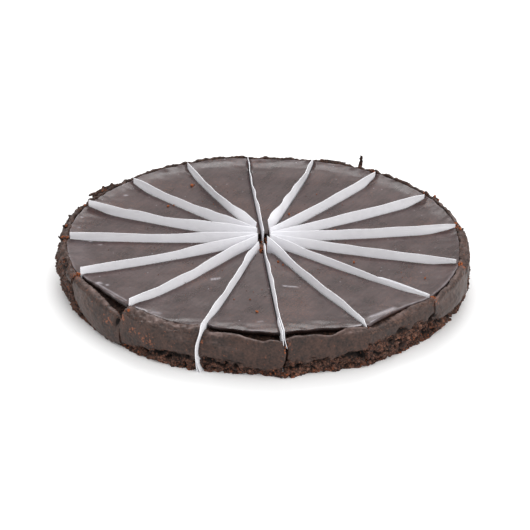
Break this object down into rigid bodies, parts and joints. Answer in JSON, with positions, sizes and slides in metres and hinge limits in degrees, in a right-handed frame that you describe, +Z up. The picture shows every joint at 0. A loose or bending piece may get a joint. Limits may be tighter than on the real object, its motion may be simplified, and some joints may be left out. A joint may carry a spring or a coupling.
{
  "type": "flourless chocolate cake",
  "caption": "Round dark flourless chocolate cake topped with ganache, cut into slices with a wavy white paper divider in each cut.",
  "frame": {"origin": "middle of the cake's outline, on the surface it stands on", "axes": "+Z up, -Y towards the side the picture shows in front, +X to the right of it"},
  "size_m": [0.2538, 0.2449, 0.0379],
  "materials": {
    "chocolate_crumb": "baked chocolate crumb, satin where smooth and matt where broken",
    "ganache": "set chocolate ganache with a soft satin shine",
    "divider_paper": "thin white baking paper"
  },
  "bodies": {
    "root": {"slice_01": "chocolate_crumb", "slice_02": "chocolate_crumb", "slice_03": "chocolate_crumb", "slice_04": "chocolate_crumb", "slice_05": "chocolate_crumb", "slice_06": "chocolate_crumb", "slice_07": "chocolate_crumb", "slice_08": "chocolate_crumb", "slice_09": "chocolate_crumb", "slice_10": "chocolate_crumb", "slice_11": "chocolate_crumb", "slice_12": "chocolate_crumb", "slice_13": "chocolate_crumb", "slice_14": "chocolate_crumb", "slice_15": "chocolate_crumb", "slice_16": "chocolate_crumb", "ganache_01": "ganache", "ganache_02": "ganache", "ganache_03": "ganache", "ganache_04": "ganache", "ganache_05": "ganache", "ganache_06": "ganache", "ganache_07": "ganache", "ganache_08": "ganache", "ganache_09": "ganache", "ganache_10": "ganache", "ganache_11": "ganache", "ganache_12": "ganache", "ganache_13": "ganache", "ganache_14": "ganache", "ganache_15": "ganache", "ganache_16": "ganache", "paper_01": "divider_paper", "paper_02": "divider_paper", "paper_03": "divider_paper", "paper_04": "divider_paper", "paper_05": "divider_paper", "paper_06": "divider_paper", "paper_07": "divider_paper", "paper_08": "divider_paper", "paper_09": "divider_paper", "paper_10": "divider_paper", "paper_11": "divider_paper", "paper_12": "divider_paper", "paper_13": "divider_paper", "paper_14": "divider_paper", "paper_15": "divider_paper", "paper_16": "divider_paper"}
  },
  "joints": []
}
